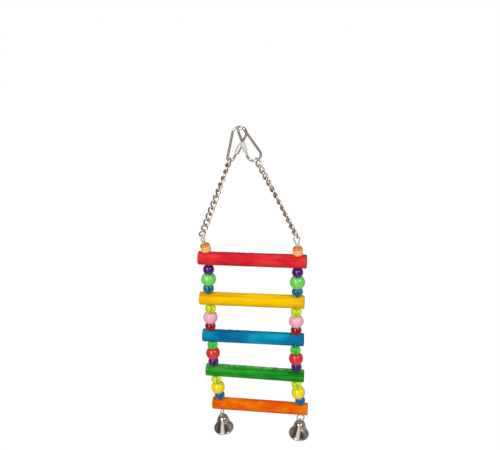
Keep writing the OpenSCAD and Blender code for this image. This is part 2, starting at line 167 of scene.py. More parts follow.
class WireLooks(bpy.types.PropertyGroup):
    thickness: length("Wire thickness", "Thickness of the two ladder wires", 1.5)
    drawn: length("Drawn wire", "How much thinner the wire gets where its eye is bent", 0.16)
    eye_width: length("Eye width", "Outside width of the eye at the top of a wire", 6.8)
    eye_drop: length("Eye drop", "From the middle of an eye down to where its strands meet", 5.9)
    ring_width: length("Ring width", "Outside width of the ring at the foot of a wire", 8.8)
    bend_in: length("Bend depth", "How far inside a hole the wire bends", 0.4)
    strand_gap: length("Strand gap", "Slack between the two strands in a striped bead", 0.15)
    left_turn: angle("Left turn", "Turn of the left eye and ring about the vertical", 74)
    right_turn: angle("Right turn", "Turn of the right eye and ring about the vertical", 4)
    zinc: colour("Zinc", "Colour of the zinc plating", 232, 232, 234)


class ChainLooks(bpy.types.PropertyGroup):
    thickness: length("Wire thickness", "Thickness of a link's wire", 1.46)
    link_length: length("Link length", "Outside length of a link", 9.3)
    link_width: length("Link width", "Outside width of a link", 6.3)
    twist: angle("Twist", "Twist from one end of a link to the other", 90)
    left_roll: angle("Left roll", "Roll of the left chain's first link", 70)
    left_step: angle("Left step", "Roll from one link of the left chain to the next", 11)
    right_roll: angle("Right roll", "Roll of the right chain's first link", 60)
    right_step: angle("Right step", "Roll from one link of the right chain to the next", 6.5)
    nickel: colour("Nickel", "Colour of the chain's plating", 208, 197, 182)


class ScrewLinkLooks(bpy.types.PropertyGroup):
    thickness: length("Rod thickness", "Thickness of a screw link's rod", 2.1)
    link_length: length("Link length", "Outside length of a screw link", 33.0)
    wide: length("Wide end", "Outside width at the wide end", 13.7)
    narrow: length("Narrow end", "Outside width at the narrow end", 7.4)
    lean: angle("Lean", "Lean of each screw link from the vertical", 23)
    turn: angle("Turn", "Turn of the left screw link about its own length", 20)
    apart: length("Space", "Space between the two rods at the hang point", 1.4)
    opening: length("Opening", "Opening of the gate under its sleeve", 4.0)
    opening_off: length("Opening offset", "How far the opening lies from the middle of the sleeve", 1.1)
    pitch: length("Thread pitch", "Distance from one turn of the thread to the next", 0.55)
    depth: length("Thread depth", "Depth of the thread", 0.2)
    across_flats: length("Sleeve width", "Width of a sleeve across its flats", 3.5)
    sleeve_length: length("Sleeve length", "Length of a gate sleeve", 8.8)
    sleeve_bore: length("Sleeve bore", "Bore of a gate sleeve", 2.26)
    nickel: colour("Nickel", "Colour of the screw links' plating", 228, 222, 214)


class BellLooks(bpy.types.PropertyGroup):
    wall: length("Wall", "Thickness of a bell's shell", 0.7)
    lip: length("Lip", "Thickness of the rolled lip", 1.5)
    crown: length("Crown width", "Width of the domed crown", 11.5)
    crown_height: length("Crown height", "Height of the domed crown", 4.7)
    width: length("Bell width", "Width of a bell at its lip", 21.4)
    height: length("Bell height", "Height of a bell without its hanger", 18.1)
    waist: length("Waist", "How far the flank draws in between the crown and the lip", 0.35)
    drop: length("Crown drop", "From the wire ring down to the crown", 1.7)
    hanger: length("Hanger wire", "Thickness of a hanger's wire", 1.1)
    legs: length("Hanger legs", "Distance between a hanger's legs", 3.2)
    clapper: length("Clapper wire", "Thickness of a clapper's wire", 0.9)
    ball: length("Clapper ball", "Width of a clapper's ball", 4.8)
    slack: length("Slack", "Slack between two loops that hang in each other", 0.15)
    nickel: colour("Nickel", "Colour of the bells' plating", 226, 219, 212)
    steel: colour("Hanger steel", "Colour of the hangers and clappers", 168, 164, 160)


class StageLooks(bpy.types.PropertyGroup):
    yaw: angle("Yaw", "Turn of the camera about the vertical", 9.918)
    pitch: angle("Pitch", "How far the camera looks down", 26.189)
    roll: angle("Roll", "Tilt of the picture", -3.987)
    lens: amount("Lens", "Focal length in millimetres on a 36 mm wide sensor", 41.56)
    place: FloatVectorProperty(
        name="Place",
        description="Where the camera stands",
        default=(0.08103, -0.45228, 0.13787),
        size=3,
        precision=5,
        subtype="TRANSLATION",
        unit="LENGTH",
    )
    floor: length("Floor", "How far the floor lies below the hang point", 900)
    # The walls and their cloth are painted reflections: glowing panels that only gloss sees.
    walls: length("Walls", "Radius of the dark walls that gloss mirrors", 1600)
    cloth_drop: length("Cloth drop", "How far the cloth that gloss mirrors sags below the object", 650)
    left_light: amount("Left softbox", "Strength of the left softbox in watts", 4.2)
    right_light: amount("Right softbox", "Strength of the right softbox in watts", 2.4)
    sky: amount("Fill", "Strength of the even fill light", 0.5)
    paper: colour("Paper", "Colour of the pale floor", 245, 245, 245)
    cloth: colour("Wall cloth", "Colour of the cream cloth over the top of the walls", 196, 186, 172)


GROUPS = {
    "ladder_rungs": RungLooks,
    "ladder_beads": BeadLooks,
    "ladder_wires": WireLooks,
    "ladder_chains": ChainLooks,
    "ladder_screw_links": ScrewLinkLooks,
    "ladder_bells": BellLooks,
    "ladder_stage": StageLooks,
}


# What the frame says about places.


def hinge_point(name):
    return Vector(JOINTS[name]["pos_m"])


def hinge_axis(name):
    return Vector(JOINTS[name]["axis"]).normalized()


def node_points(name):
    return [v.co.copy() for v in frame["nodes"][name].data.vertices]


def node_middle(name):
    low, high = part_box(name)
    return (low + high) / 2


def centroid(points):
    return sum(points, Vector()) / len(points)


def box_middle(points):
    return Vector([(min(p[i] for p in points) + max(p[i] for p in points)) / 2 for i in range(3)])


END_SLICE = 1.5 * MM  # how much of a rung's end gives the middle of that end


def rung_axis(name):
    """Middle, direction, length and width of a rung, read from its solid."""
    points = node_points(name)
    low = min(p.x for p in points)
    high = max(p.x for p in points)
    left_end = box_middle([p for p in points if p.x < low + END_SLICE])
    right_end = box_middle([p for p in points if p.x > high - END_SLICE])
    along = (right_end - left_end).normalized()
    middle = (left_end + right_end) / 2
    reach = [(p - middle).dot(along) for p in points]
    width = max(p.y for p in points) - min(p.y for p in points)
    middle = middle + (max(reach) + min(reach)) / 2 * along
    return middle, along, max(reach) - min(reach), width


def wire_entry(side_name, rung):
    """Where a wire comes out of the top of a rung, and which way it runs from there."""
    if rung == 0:
        joint = f"{side_name}_spool_bead_spin"
    else:
        joint = f"{side_name}_bead_{BEADS_BETWEEN_RUNGS * rung}_spin"
    return hinge_point(joint), hinge_axis(joint)


def rung_holes(rung):
    """The two places on a rung's axis that its holes pass through."""
    middle, along, _, _ = rung_axis(f"{RUNGS[rung]}_rung")
    top = [wire_entry(name, 0)[0] for _, name in SIDES]
    half = (top[1] - top[0]).length / 2
    here = [wire_entry(name, rung)[0] for _, name in SIDES]
    centre = middle + ((here[0] + here[1]) / 2 - middle).dot(along) * along
    return [centre + side * half * along for side, _ in SIDES]


def axes_matrix(x, y, z, origin):
    matrix = Matrix((x, y, z)).transposed().to_4x4()
    matrix.translation = origin
    return matrix


def aimed(origin, direction):
    """Matrix whose Z runs along a direction."""
    z = direction.normalized()
    y = Vector((0, 1, 0))
    x = y.cross(z).normalized()
    return axes_matrix(x, z.cross(x), z, origin)


# Mesh making.


def linked(name, data):
    """New object of the scene that holds the data."""
    thing = bpy.data.objects.new(name, data)
    bpy.context.scene.collection.objects.link(thing)
    return thing


def mesh_object(name, mesh):
    """New object of the scene made from a bmesh, which is freed."""
    data = bpy.data.meshes.new(name)
    mesh.to_mesh(data)
    mesh.free()
    return linked(name, data)


def finish_piece(name, mesh, material, body, nodes, matrix=None, baked=None):
    """Turns a bmesh into a shaded piece that rides on a body and stands for CAD nodes.

    matrix places the piece and keeps its own coordinates for the material, baked moves its points.
    """
    if baked is not None:
        mesh.transform(baked)
    bmesh.ops.recalc_face_normals(mesh, faces=mesh.faces)
    piece = mesh_object(name, mesh)
    piece.data.shade_smooth()
    piece.data.materials.append(material)
    if matrix is not None:
        piece.matrix_world = matrix
    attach(piece, body)
    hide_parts(*nodes)
    return piece


def skin(mesh, rings, closed, caps=True):
    """Faces between neighbouring rings of vertices, and across both ends unless closed."""
    count = len(rings)
    for i in range(count if closed else count - 1):
        here, there = rings[i], rings[(i + 1) % count]
        size = len(here)
        for k in range(size):
            mesh.faces.new((here[k], here[(k + 1) % size], there[(k + 1) % size], there[k]))
    if caps and not closed:
        mesh.faces.new(rings[0][::-1])
        mesh.faces.new(rings[-1])


def sweep(mesh, path, radius, sides, closed=False, start=None):
    """Round bar along a path. radius is a number, or a function of the step and the angle."""
    count = len(path)
    if closed:
        tangents = [(path[(i + 1) % count] - path[i - 1]).normalized() for i in range(count)]
    else:
        tangents = [
            (path[min(i + 1, count - 1)] - path[max(i - 1, 0)]).normalized() for i in range(count)
        ]
    normal = start if start is not None else tangents[0].orthogonal()
    rings = []
    for i, (point, tangent) in enumerate(zip(path, tangents)):
        normal = (normal - normal.dot(tangent) * tangent).normalized()
        side = tangent.cross(normal)
        ring = []
        for a in turns(sides):
            r = radius(i, a) if callable(radius) else radius
            ring.append(mesh.verts.new(point + r * (math.cos(a) * normal + math.sin(a) * side)))
        rings.append(ring)
    skin(mesh, rings, closed)


def domed(path, radius):
    """Adds short steps to both ends of a path, and gives the radius at each step that rounds the ends."""
    first = (path[0] - path[1]).normalized()
    last = (path[-1] - path[-2]).normalized()
    steps = (0.95, 0.75, 0.45)
    head = [path[0] + first * radius * s * 0.6 for s in steps]
    tail = [path[-1] + last * radius * s * 0.6 for s in reversed(steps)]
    small = [radius * math.sqrt(1 - s * s) for s in steps]
    radii = small + [radius] * len(path) + small[::-1]
    return head + path + tail, radii


def turns(count):
    """Angles of equal steps round a whole turn."""
    return [2 * math.pi * k / count for k in range(count)]


def level_ring(mesh, r, z, count):
    """Ring of vertices about Z."""
    return [mesh.verts.new((r * math.cos(a), r * math.sin(a), z)) for a in turns(count)]


def lathe(mesh, profile, segments, closed=True, caps=True):
    """Turns a profile of (radius, height) pairs about Z. A closed profile makes a ring-shaped solid."""
    skin(mesh, [level_ring(mesh, r, z, segments) for r, z in profile], closed, caps)


def arc(middle_x, middle_y, radius, first, last, steps):
    """Points of an arc in a plane, angles in degrees, both ends included."""
    angles = [math.radians(first + (last - first) * i / steps) for i in range(steps + 1)]
    return [(middle_x + radius * math.cos(a), middle_y + radius * math.sin(a)) for a in angles]


def eased(points, reach, steps=6):
    """A path of straight runs with its corners turned into short bends."""
    path = [points[0]]
    for before, corner, after in zip(points, points[1:], points[2:]):
        back = (before - corner).normalized() * min(reach, (before - corner).length * 0.45)
        forth = (after - corner).normalized() * min(reach, (after - corner).length * 0.45)
        for i in range(steps + 1):
            w = i / steps
            path.append((1 - w) ** 2 * (corner + back) + 2 * w * (1 - w) * corner + w * w * (corner + forth))
    return path + [points[-1]]


# Materials.


class Shading:
    """The nodes of a material or a world under construction."""

    def __init__(self, owner):
        owner.use_nodes = True
        self.nodes = owner.node_tree.nodes
        self.links = owner.node_tree.links

    def add(self, kind, **values):
        node = self.nodes.new(kind)
        for key, value in values.items():
            setattr(node, key, value)
        return node

    def feed(self, socket, value):
        if isinstance(value, bpy.types.NodeSocket):
            self.links.new(value, socket)
        elif isinstance(value, tuple) and len(value) == 3 and socket.type == "RGBA":
            socket.default_value = (*value, 1)
        else:
            socket.default_value = value

    def fill(self, node, **sockets):
        """Feeds a node's inputs, named with _ for a space, and gives its outputs."""
        for key, value in sockets.items():
            self.feed(node.inputs[key.replace("_", " ")], value)
        return node.outputs

    def remap(self, value, low, high, out_low=0.0, out_high=1.0):
        node = self.add("ShaderNodeMapRange")
        self.fill(node, Value=value, From_Min=low, From_Max=high, To_Min=out_low, To_Max=out_high)
        return node.outputs["Result"]

    def maths(self, operation, first, second=0.0):
        node = self.add("ShaderNodeMath", operation=operation)
        self.feed(node.inputs[0], first)
        self.feed(node.inputs[1], second)
        return node.outputs[0]

    def white_rays(self):
        """1 for the rays that should meet a white background: camera, gloss and see-through."""
        rays = self.add("ShaderNodeLightPath").outputs
        seen = self.maths("MAXIMUM", rays["Is Camera Ray"], rays["Is Glossy Ray"])
        return self.maths("MAXIMUM", seen, rays["Is Transmission Ray"])


class Paint(Shading):
    """A node material under construction."""

    def __init__(self, name):
        self.material = bpy.data.materials.new(name)
        super().__init__(self.material)
        self.shader = self.nodes["Principled BSDF"]
        self.place = self.add("ShaderNodeTexCoord").outputs["Object"]

    def noise(self, scale, detail=3.0, rough=0.5, shift=(0, 0, 0), distortion=0.0):
        """Noise with its own scale along each axis, in steps to the metre."""
        stretched = self.fill(self.add("ShaderNodeMapping"), Vector=self.place, Scale=scale, Location=shift)
        node = self.add("ShaderNodeTexNoise")
        self.fill(node, Vector=stretched["Vector"], Scale=1, Detail=detail)
        return self.fill(node, Roughness=rough, Distortion=distortion)["Fac"]

    def split(self, vector):
        """X, Y and Z of a vector."""
        return self.fill(self.add("ShaderNodeSeparateXYZ"), Vector=vector)

    def mix(self, share, first, second, blend="MIX"):
        node = self.add("ShaderNodeMix", data_type="RGBA", blend_type=blend)
        return self.fill(node, Factor=share, A=first, B=second)["Result"]

    def ramp(self, value, stops, interpolation="LINEAR"):
        """Colour ramp from (position, colour) pairs."""
        node = self.add("ShaderNodeValToRGB")
        self.feed(node.inputs[0], value)
        node.color_ramp.interpolation = interpolation
        elements = node.color_ramp.elements
        elements.remove(elements[1])
        for i, (at, tone) in enumerate(stops):
            stop = elements[0] if i == 0 else elements.new(at)
            stop.position = at
            stop.color = (*tone, 1)
        return node.outputs["Color"]

    def bump(self, height, strength, distance):
        node = self.add("ShaderNodeBump")
        self.fill(node, Strength=strength, Distance=distance, Height=height)
        self.fill(self.shader, Normal=node.outputs["Normal"])

    def set(self, **sockets):
        self.fill(self.shader, **sockets)

    def show(self, shader):
        """Makes another shader the material's surface."""
        self.fill(self.nodes["Material Output"], Surface=shader)


# Stain of each rung: its deep and light tones, the strength of its clouds and streaks, the tone, share and
# heights of its fine lines, the tone and share of the dashes along its top edge, and how well it took from
# the left end, 0, to the right end, 1. Levels run from 0, deep, to 1, light. Heights are shares of the radius.
STAINS = {
    "red": {
        "deep": srgb(190, 10, 28),
        "light": srgb(233, 66, 60),
        "cloud": 0.30,
        "streak": 0.12,
        "line": srgb(160, 6, 24),
        "lines": 0.25,
        "lines_at": (1.4, 0.6),
        "dash": srgb(70, 14, 18),
        "dashes": 0.75,
        "took": ((0.0, 0.65), (0.12, 0.8), (0.3, 0.35), (0.5, 0.3), (0.62, 0.9), (0.74, 0.25), (0.9, 0.7)),
    },
    "yellow": {
        "deep": srgb(232, 165, 0),
        "light": srgb(253, 212, 0),
        "cloud": 0.22,
        "streak": 0.45,
        "line": srgb(216, 136, 0),
        "lines": 0.85,
        "lines_at": (1.4, 0.6),
        "dash": srgb(180, 120, 0),
        "dashes": 0.2,
        "took": ((0.0, 0.3), (0.15, 0.6), (0.25, 0.35), (0.45, 0.7), (0.75, 0.75), (0.95, 0.4)),
    },
    "blue": {
        "deep": srgb(0, 92, 148),
        "light": srgb(4, 168, 196),
        "cloud": 0.30,
        "streak": 0.16,
        "line": srgb(0, 74, 122),
        "lines": 0.35,
        "lines_at": (1.4, 0.6),
        "dash": srgb(0, 60, 60),
        "dashes": 0.5,
        "took": (
            (0.0, 0.75), (0.08, 0.4), (0.2, 0.1), (0.36, 0.35),
            (0.5, 0.8), (0.74, 0.9), (0.9, 0.35), (1.0, 0.25),
        ),
    },
    "green": {
        "deep": srgb(0, 112, 14),
        "light": srgb(62, 170, 56),
        "cloud": 0.22,
        "streak": 0.42,
        "line": srgb(124, 204, 88),
        "lines": 0.9,
        "lines_at": (0.3, -0.25),
        "dash": srgb(150, 196, 110),
        "dashes": 0.8,
        "took": ((0.0, 0.75), (0.15, 0.55), (0.35, 0.6), (0.6, 0.5), (0.8, 0.15), (0.92, 0.05), (1.0, 0.4)),
    },
    "orange": {
        "deep": srgb(232, 62, 0),
        "light": srgb(252, 140, 0),
        "cloud": 0.42,
        "streak": 0.18,
        "line": srgb(212, 60, 8),
        "lines": 0.3,
        "lines_at": (1.4, 0.6),
        "dash": srgb(190, 60, 10),
        "dashes": 0.3,
        "took": (
            (0.0, 0.3), (0.13, 0.85), (0.3, 0.25), (0.42, 0.75),
            (0.55, 0.2), (0.7, 0.6), (0.82, 0.3), (1.0, 0.95),
        ),
    },
}


def scaled(tone, factor):
    return tuple(min(1.0, c * factor) for c in tone)


def stained_wood(name, stain, spec, reach, radius, seed):
    """Turned hardwood under a see-through stain, its grain along X.

    spec is the rung's entry in STAINS. reach and radius are the rung's length and half its width.
    """
    p = Paint(name)
    shift = (seed * 3.1, seed * 1.7, seed * 2.3)
    spot = p.split(p.place)
    drift = p.noise((38, 95, 95), 2, 0.5, shift, 0.5)
    along = p.maths("ADD", spot["X"], p.remap(spot["Z"], -radius, radius, 0.006, -0.006))
    along = p.maths("ADD", along, p.remap(drift, 0.3, 0.7, -0.006, 0.006))
    levels = [(at, (level,) * 3) for at, level in spec["took"]]
    took = p.ramp(p.remap(along, -reach / 2, reach / 2), levels, "B_SPLINE")
    cloud = p.noise((70, 170, 170), 3, 0.55, shift, 0.4)
    streak = p.noise((13, 330, 330), 4, 0.6, shift, 0.3)
    fibre = p.noise((110, 1700, 1700), 4, 0.65, shift)
    pore = p.noise((260, 3600, 3600), 1, 0.5, shift)
    level = p.maths("ADD", took, p.remap(cloud, 0.3, 0.7, -spec["cloud"], spec["cloud"]))
    level = p.maths("ADD", level, p.remap(streak, 0.3, 0.7, -spec["streak"], spec["streak"]))
    tone = p.mix(p.remap(level, 0.0, 0.5), spec["deep"], stain)
    tone = p.mix(p.remap(level, 0.5, 1.0), tone, spec["light"])
    line = p.noise((9, 620, 620), 3, 0.6, (seed, seed * 4.7, seed * 5.3))
    low, high = spec["lines_at"]
    there = p.remap(spot["Z"], low * radius, high * radius)
    drawn = p.maths("MULTIPLY", p.remap(line, 0.54, 0.66, 0, spec["lines"]), there)
    tone = p.mix(drawn, tone, spec["line"])
    tone = p.mix(p.remap(fibre, 0.36, 0.58, 0.34, 0.0), tone, scaled(stain, 0.55))
    tone = p.mix(p.remap(pore, 0.26, 0.34, 0.35, 0.0), tone, scaled(stain, 0.35))
    dash = p.remap(p.noise((330, 420, 420), 1, 0.5, shift), 0.46, 0.52)
    dash = p.maths("MULTIPLY", dash, p.remap(spot["Z"], 0.8 * radius, 0.9 * radius, 0, spec["dashes"]))
    dash = p.maths("MULTIPLY", dash, p.remap(spot["Y"], -0.2 * radius, 0.05 * radius))
    tone = p.mix(dash, tone, spec["dash"])
    facing = p.split(p.add("ShaderNodeTexCoord").outputs["Normal"])
    end = p.remap(p.maths("ABSOLUTE", facing["X"]), 0.6, 0.95)
    sawn = p.mix(p.noise((900, 900, 900), 3, 0.7), scaled(stain, 0.25), scaled(stain, 0.65))
    p.set(
        Base_Color=p.mix(end, tone, sawn),
        Roughness=p.remap(fibre, 0.3, 0.7, 0.5, 0.68),
        Specular_IOR_Level=0.05,
    )
    p.bump(p.maths("ADD", p.maths("MULTIPLY", fibre, 0.7), p.maths("MULTIPLY", pore, 0.5)), 0.5, 0.00012)
    return p.material


def opaque_plastic(name, tint, seed):
    """Glossy moulded plastic with faint flow marks and handling scratches."""
    p = Paint(name)
    shift = (seed * 2.9, seed * 1.3, seed)
    flow = p.noise((190, 190, 320), 2, 0.5, shift, 0.6)
    rub = p.noise((2600, 2600, 900), 2, 0.6, shift)
    p.set(
        Base_Color=p.mix(p.remap(flow, 0.3, 0.7), scaled(tint, 0.95), scaled(tint, 1.04)),
        Roughness=p.remap(rub, 0.35, 0.75, 0.08, 0.16),
        IOR=1.52,
        Subsurface_Weight=0.08,
        Subsurface_Scale=0.002,
        Coat_Weight=0.2,
        Coat_Roughness=0.05,
    )
    p.bump(p.maths("ADD", flow, p.maths("MULTIPLY", rub, 0.1)), 0.15, 0.00006)
    return p.material


def clear_plastic(name, tint, seed):
    """Tinted see-through plastic, a little milky."""
    p = Paint(name)
    shift = (seed * 2.9, seed * 1.3, seed)
    flow = p.noise((170, 170, 240), 2, 0.5, shift, 0.8)
    rub = p.noise((2400, 2400, 800), 2, 0.6, shift)
    p.set(
        Base_Color=p.mix(p.remap(flow, 0.3, 0.7), scaled(tint, 0.93), scaled(tint, 1.06)),
        Roughness=p.remap(rub, 0.35, 0.75, 0.03, 0.08),
        IOR=1.5,
        Transmission_Weight=0.7,
    )
    p.bump(p.maths("ADD", flow, p.maths("MULTIPLY", rub, 0.04)), 0.08, 0.00006)
    return p.material


def striped_clay(name, looks, half_height):
    """Layered stripes round a small glossy bead, top to bottom along its own Z."""
    p = Paint(name)
    height = p.remap(p.split(p.place)["Z"], -half_height, half_height)
    waver = p.noise((180, 180, 60), 2, 0.5)
    level = p.maths("ADD", height, p.remap(waver, 0.3, 0.7, -0.008, 0.008))
    bands = (
        (0.0, looks.tan, 1.0),
        (0.06, looks.tan, 1.35),
        (0.24, looks.tan, 1.2),
        (0.27, looks.brown, 1.0),
        (0.30, looks.cream, 1.0),
        (0.40, looks.cream, 1.0),
        (0.44, looks.tan, 1.3),
        (0.55, looks.tan, 1.15),
        (0.58, looks.brown, 1.0),
        (0.61, looks.cream, 1.05),
        (0.70, looks.cream, 1.05),
        (0.74, looks.tan, 1.1),
        (0.97, looks.tan, 0.85),
    )
    stripes = p.ramp(level, [(at, scaled(tint, gain)) for at, tint, gain in bands])
    cloud = p.noise((420, 420, 900), 3, 0.6)
    p.set(
        Base_Color=p.mix(p.remap(cloud, 0.4, 0.75, 0.0, 0.12), stripes, tuple(looks.tan), "MULTIPLY"),
        Roughness=p.remap(cloud, 0.3, 0.7, 0.16, 0.3),
        Coat_Weight=0.3,
        Coat_Roughness=0.08,
    )
    p.bump(cloud, 0.3, 0.0001)
    return p.material


def plated_metal(name, tint, smooth, worn, seed=0.0, bare=1.0):
    """Plated wire or sheet: smooth is the roughness of clean plating, worn that of dull patches.

    bare below 1 leaves a pale matt bloom over the plating; on the right gate sleeve that paler, matter copy is
    a painted highlight.
    """
    p = Paint(name)
    patch = p.noise((210, 210, 210), 3, 0.6, (seed, seed * 2, seed * 3))
    fine = p.noise((2400, 2400, 2400), 2, 0.6, (seed, seed, 0))
    dull = p.remap(patch, 0.42, 0.7)
    p.set(
        Base_Color=p.mix(dull, tint, scaled(tint, 0.78)),
        Metallic=p.remap(dull, 0, 1, bare, bare * 0.95),
        Roughness=p.maths("ADD", p.remap(dull, 0, 1, smooth, worn), p.remap(fine, 0.4, 0.7, 0.0, 0.06)),
    )
    p.bump(p.maths("ADD", fine, p.maths("MULTIPLY", patch, 0.6)), 0.2, 0.00006)
    return p.material


def pale_paper(name, tint):
    """Floor that the camera and the gloss of the metal see as white, with the object's shadow kept."""
    p = Paint(name)
    grain = p.noise((900, 900, 900), 2, 0.5)
    p.set(Base_Color=p.mix(grain, scaled(tint, 0.97), tint), Roughness=0.9)
    p.bump(grain, 0.1, 0.0002)
    white = p.fill(p.add("ShaderNodeEmission"), Strength=1.06)
    blend = p.add("ShaderNodeMixShader")
    p.feed(blend.inputs[0], p.maths("MULTIPLY", p.white_rays(), 0.9))
    p.feed(blend.inputs[1], p.shader.outputs[0])
    p.feed(blend.inputs[2], white[0])
    p.show(blend.outputs[0])
    return p.material


# Pieces.


# How deep the chips along a rung's top edge go, and where round it they lie, in degrees from the back.
CHIPPED = {"red": (1.0, 60), "yellow": (0.0, 57), "blue": (0.6, 54), "green": (0.6, 50), "orange": (0.0, 47)}
CHIP_SPREAD = 15  # degrees to each side of the chipped line


def turned_dowel(reach, radius, looks, seed, chips):
    """Dowel along X about the origin: grain relief, softened edges, saw-marked ends, chipped top edge."""
    mesh = bmesh.new()
    around, runs = 96, 150
    inner = radius - looks.edge
    end_part = [(0.0, share * inner) for share in (0.35, 0.7)]
    end_part += [
        (looks.edge * (1 - math.cos(a)), inner + looks.edge * math.sin(a))
        for a in (0.0, 0.3, 0.6, 0.9, 1.2, math.pi / 2)
    ]
    body = [(looks.edge + (reach - 2 * looks.edge) * i / runs, radius) for i in range(1, runs)]
    stations = end_part + body + [(reach - x, r) for x, r in reversed(end_part)]
    chip_depth, chip_line = chips
    rings = []
    for x, r in stations:
        end, face = (-1, 0) if x < reach / 2 else (1, 9)
        ring = []
        for a in turns(around):
            c, s = math.cos(a), math.sin(a)
            ring_r = r
            if r > inner:
                fibre = Vector((x * 60, c * radius * 900, s * radius * 900 + seed * 7))
                torn = noise.noise(Vector((x * 330, math.degrees(a) * 0.05, seed * 3.3)))
                near_line = max(0.0, 1 - abs(math.degrees(a) - chip_line) / CHIP_SPREAD)
                bite = min(1.0, near_line * 2) * max(0.0, min(1.0, 5 * (torn + 0.05)))
                ring_r += looks.grain * noise.noise(fibre) - chip_depth * looks.chip * bite
            depth = 0.0
            if r <= inner + 0.8 * looks.edge:
                mark = noise.noise(Vector((s * r * 2600, c * r * 500, seed * 5 + face)))
                depth = looks.saw * 0.5 * (mark - 1)
            ring.append(mesh.verts.new((x - reach / 2 + end * depth, ring_r * c, ring_r * s)))
        rings.append(ring)
    skin(mesh, rings, False)
    return mesh


class BIRDLADDER_OT_rungs(bpy.types.Operator):
    """Build the five stained dowel rungs with their drilled holes"""

    bl_idname = "bird_ladder.rungs"
    bl_label = "Rungs"

    def execute(self, context):
        looks = context.scene.ladder_rungs
        for rung, name in enumerate(RUNGS):
            middle, along, reach, width = rung_axis(f"{name}_rung")
            across = Vector((0, 1, 0))
            matrix = axes_matrix(along, across, along.cross(across), middle)
            stain = tuple(getattr(looks, name))
            material = stained_wood(f"{name}_stained_wood", stain, STAINS[name], reach, width / 2, rung + 1)
            mesh = turned_dowel(reach, width / 2, looks, rung + 1, CHIPPED[name])
            piece = finish_piece(
                f"{name}_dowel", mesh, material, "ladder", [f"{name}_rung"], matrix
            )
            drill(piece, rung_holes(rung), along.cross(across), looks.hole, width)
        return {"FINISHED"}


def drill(piece, places, direction, width, through):
    """Cuts round holes through a piece, then discards the cutter."""
    cutter = bmesh.new()
    for place in places:
        path = [place - direction * through, place + direction * through]
        sweep(cutter, path, width / 2, 40)
    bmesh.ops.recalc_face_normals(cutter, faces=cutter.faces)
    tool = mesh_object("drill", cutter)
    cut = piece.modifiers.new("Holes", "BOOLEAN")
    cut.operation = "DIFFERENCE"
    cut.solver = "EXACT"
    cut.object = tool
    bpy.context.view_layer.update()
    drilled = piece.evaluated_get(bpy.context.evaluated_depsgraph_get())
    drilled = bpy.data.meshes.new_from_object(drilled)
    piece.modifiers.remove(cut)
    piece.data = drilled
    piece.data.set_sharp_from_angle(angle=math.radians(50))
    bpy.data.objects.remove(tool)


def bead_profile(radius, half_height, bore, lip):
    """Closed profile of a round bead: ball, flats, rounded lips and straight bore."""
    flat = math.sqrt(radius * radius - half_height * half_height)
    rise = math.degrees(math.asin(half_height / radius))
    ball = arc(0, 0, radius, -rise, rise, 40)
    top = arc(bore + lip, half_height - lip, lip, 90, 180, 5)
    walls = [(bore, half_height * (1 - i / 3)) for i in range(1, 6)]
    low = arc(bore + lip, lip - half_height, lip, 180, 270, 5)
    edge = 0.5 * (flat + bore + lip)
    return ball + [(edge, half_height)] + top + walls[:-1] + low + [(edge, -half_height)]


def bead_place(node):
    """Middle of a bead's solid, the axis of its hole, and its points from that middle."""
    centre = node_middle(node)
    return centre, hinge_axis(f"{node}_spin"), [p - centre for p in node_points(node)]


CLEAR_BEADS = ("teal", "lime", "dark_red", "green", "violet", "lime_green", "blue")
BEAD_COLOURS = (
    "purple", "light_green", "teal", "lime", "pink", "dark_red",
    "green", "red", "violet", "lime_green", "yellow", "blue",
)


class BIRDLADDER_OT_glossy_beads(bpy.types.Operator):
    """Build the twelve glossy beads of each side"""

    bl_idname = "bird_ladder.glossy_beads"
    bl_label = "Glossy beads"

    def execute(self, context):
        looks = context.scene.ladder_beads
        for number, tint in enumerate(BEAD_COLOURS, 1):
            make = clear_plastic if tint in CLEAR_BEADS else opaque_plastic
            material = make(f"{tint}_plastic", tuple(getattr(looks, tint)), number)
            for _, side_name in SIDES:
                node = f"{side_name}_bead_{number}"
                centre, axis, points = bead_place(node)
                radius = max(p.length for p in points)
                half_height = max(abs(p.dot(axis)) for p in points)
                mesh = bmesh.new()
                lathe(mesh, bead_profile(radius, half_height, looks.bore / 2, looks.lip), 72)
                piece = finish_piece(
                    f"{side_name}_{tint}_bead", mesh, material, node, [node],
                    aimed(centre, axis),
                )
                piece.data.set_sharp_from_angle(angle=math.radians(60))
        return {"FINISHED"}


class BIRDLADDER_OT_striped_beads(bpy.types.Operator):
    """Build the two striped beads that stand on the red rung"""

    bl_idname = "bird_ladder.striped_beads"
    bl_label = "Striped beads"

    def execute(self, context):
        looks = context.scene.ladder_beads
        for _, side_name in SIDES:
            node = f"{side_name}_spool_bead"
            centre, axis, points = bead_place(node)
            half_height = max(abs(p.dot(axis)) for p in points)
            radius = max((p - p.dot(axis) * axis).length for p in points)
            edge, bore = looks.spool_edge, looks.spool_bore / 2
            profile = (
                arc(radius - edge, edge - half_height, edge, -90, 0, 8)
                + arc(radius - edge, half_height - edge, edge, 0, 90, 8)
                + arc(bore + looks.lip, half_height - looks.lip, looks.lip, 90, 180, 5)
                + arc(bore + looks.lip, looks.lip - half_height, looks.lip, 180, 270, 5)
            )
            mesh = bmesh.new()
            lathe(mesh, profile, 72)
            material = striped_clay(f"{side_name}_striped_glaze", looks, half_height)
            finish_piece(
                f"{side_name}_striped_bead", mesh, material, node, [node],
                aimed(centre, axis),
            )
        return {"FINISHED"}


def ring_across(direction, turn):
    """Direction across a strand in the plane that an eye or ring is bent in."""
    flat = Vector((math.cos(turn), math.sin(turn), 0))
    return (flat - flat.dot(direction) * direction).normalized()


def loop_points(middle, start, side, radius, opening, steps=44):
    """Points round a loop that starts and ends beside its own stem."""
    return [
        middle - radius * math.cos(a) * start + radius * math.sin(a) * side
        for a in (opening + (2 * math.pi - 2 * opening) * i / steps for i in range(steps + 1))
    ]


